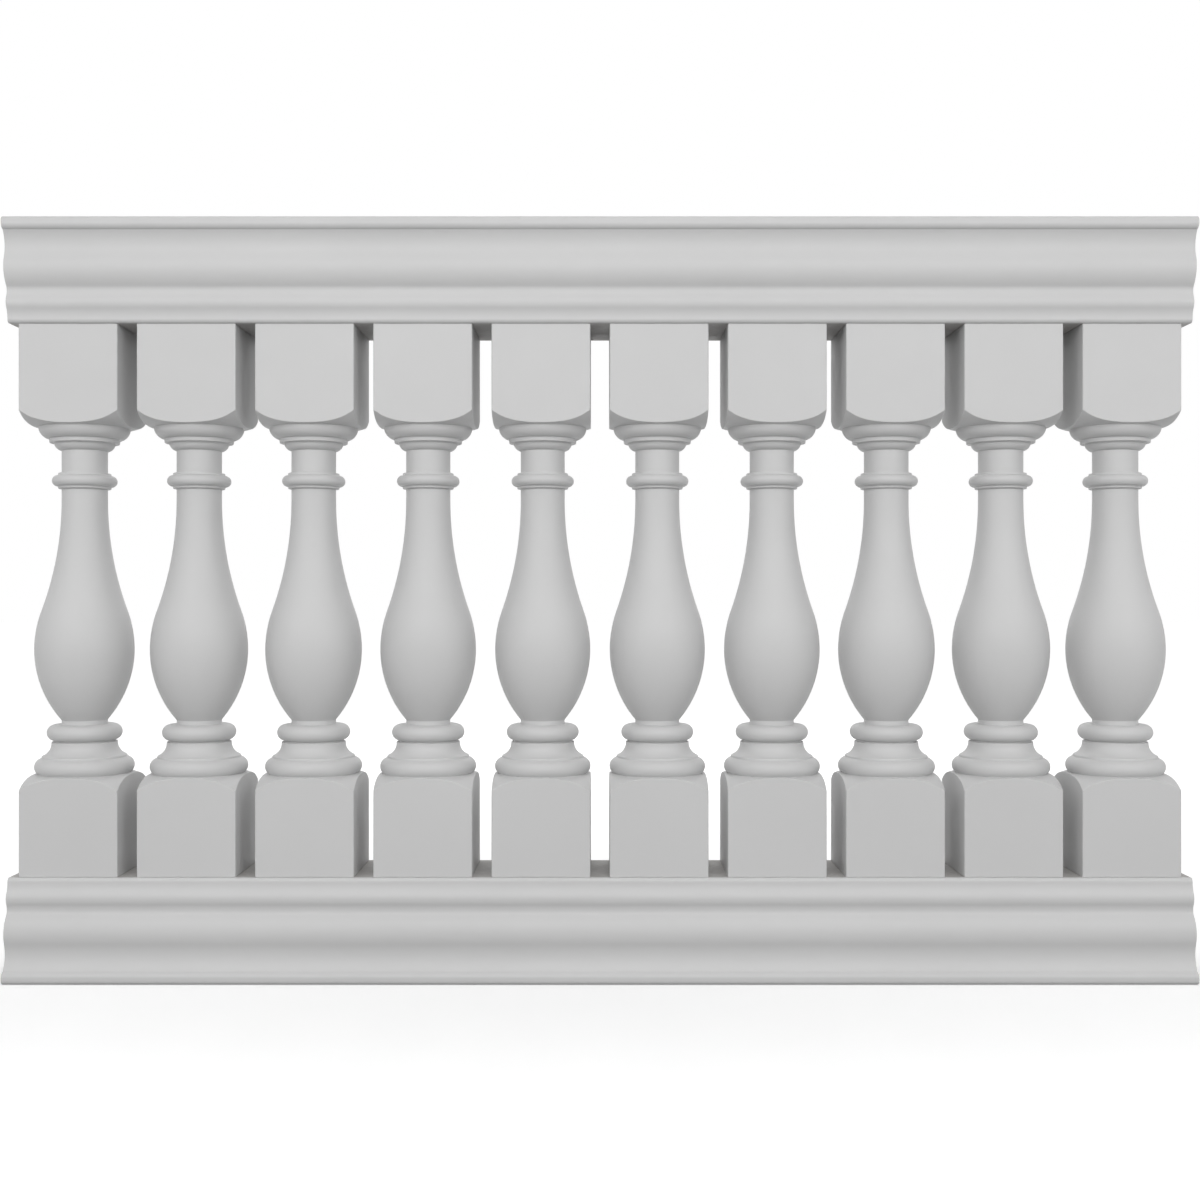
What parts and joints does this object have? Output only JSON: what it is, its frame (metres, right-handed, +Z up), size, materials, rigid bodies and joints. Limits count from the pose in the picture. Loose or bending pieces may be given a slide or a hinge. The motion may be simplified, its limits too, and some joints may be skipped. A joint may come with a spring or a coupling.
{
  "type": "fiberglass balustrade",
  "caption": "Straight balustrade bay: a row of square-ended turned vase balusters on pipe cores, between a moulded handrail and the same moulding inverted as bottom rail.",
  "frame": {"origin": "middle of the bottom rail's underside, at floor level", "axes": "+X along the rails, +Y across them from the front to the back, +Z up"},
  "size_m": [1.524, 0.1798, 0.979],
  "materials": {
    "rail_gelcoat": "satin light grey gelcoat",
    "baluster_gelcoat": "satin light grey gelcoat",
    "plate_laminate": "bare warm grey laminate",
    "pipe_steel": "galvanised"
  },
  "bodies": {
    "root": {"bottom_rail_shell": "rail_gelcoat", "bottom_rail_deck": "plate_laminate", "top_rail_soffit": "plate_laminate", "top_rail_shell": "rail_gelcoat", "baluster_01": "baluster_gelcoat", "baluster_02": "baluster_gelcoat", "baluster_03": "baluster_gelcoat", "baluster_04": "baluster_gelcoat", "baluster_05": "baluster_gelcoat", "baluster_06": "baluster_gelcoat", "baluster_07": "baluster_gelcoat", "baluster_08": "baluster_gelcoat", "baluster_09": "baluster_gelcoat", "baluster_10": "baluster_gelcoat", "pipe_01": "pipe_steel", "pipe_02": "pipe_steel", "pipe_03": "pipe_steel", "pipe_04": "pipe_steel", "pipe_05": "pipe_steel", "pipe_06": "pipe_steel", "pipe_07": "pipe_steel", "pipe_08": "pipe_steel", "pipe_09": "pipe_steel", "pipe_10": "pipe_steel"}
  },
  "joints": []
}
